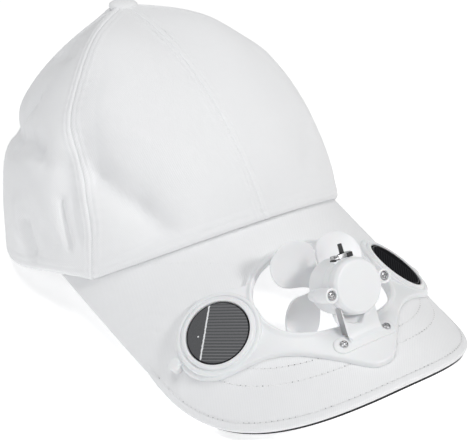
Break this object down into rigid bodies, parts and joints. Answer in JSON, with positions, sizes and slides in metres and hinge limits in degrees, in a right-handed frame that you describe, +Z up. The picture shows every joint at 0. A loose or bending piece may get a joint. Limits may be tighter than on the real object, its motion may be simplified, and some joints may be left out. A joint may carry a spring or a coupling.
{
  "type": "fan sun hat",
  "caption": "White panelled cloth cap with a long curved peak that carries a small motor-driven fan over a hole and round solar cells in a plastic frame.",
  "frame": {"origin": "on the surface the hat lies on, under the middle of its bounding box", "axes": "+Z up through the crown, -Y towards the peak's tip, so the wearer's right is -X"},
  "size_m": [0.1878, 0.304, 0.1281],
  "materials": {
    "cloth": "matt white twill",
    "trim": "matt black edging",
    "moulding": "satin white",
    "cell": "dark grey cell under clear resin",
    "steel": "plated steel",
    "lever": "matt black"
  },
  "bodies": {
    "cap": {"crown_panel_front_right": "cloth", "crown_panel_front_left": "cloth", "crown_panel_side_right": "cloth", "crown_panel_side_left": "cloth", "crown_panel_back_right": "cloth", "crown_panel_back_left": "cloth", "crown_button": "cloth", "peak": "cloth", "peak_trim": "trim", "fan_frame": "moulding", "motor_bracket": "moulding", "solar_cell_right": "cell", "solar_cell_left": "cell", "bracket_screw_right": "steel", "bracket_screw_left": "steel", "motor_shell": "moulding", "motor_cap": "moulding", "switch_body": "steel", "motor_screw_right": "steel", "motor_screw_left": "steel"},
    "fan": {"fan": "moulding", "motor_shaft": "steel"},
    "lever": {"switch_lever": "lever"}
  },
  "joints": [
    {"name": "fan_spin", "type": "hinge", "parent": "cap", "child": "fan", "pos_m": [0, -0.08952, 0.04263], "axis": [0, -0.866, 0.5], "continuous": true},
    {"name": "switch_slide", "type": "slide", "parent": "cap", "child": "lever", "axis": [1, 0, 0], "range_m": [-0.0018, 0]}
  ]
}
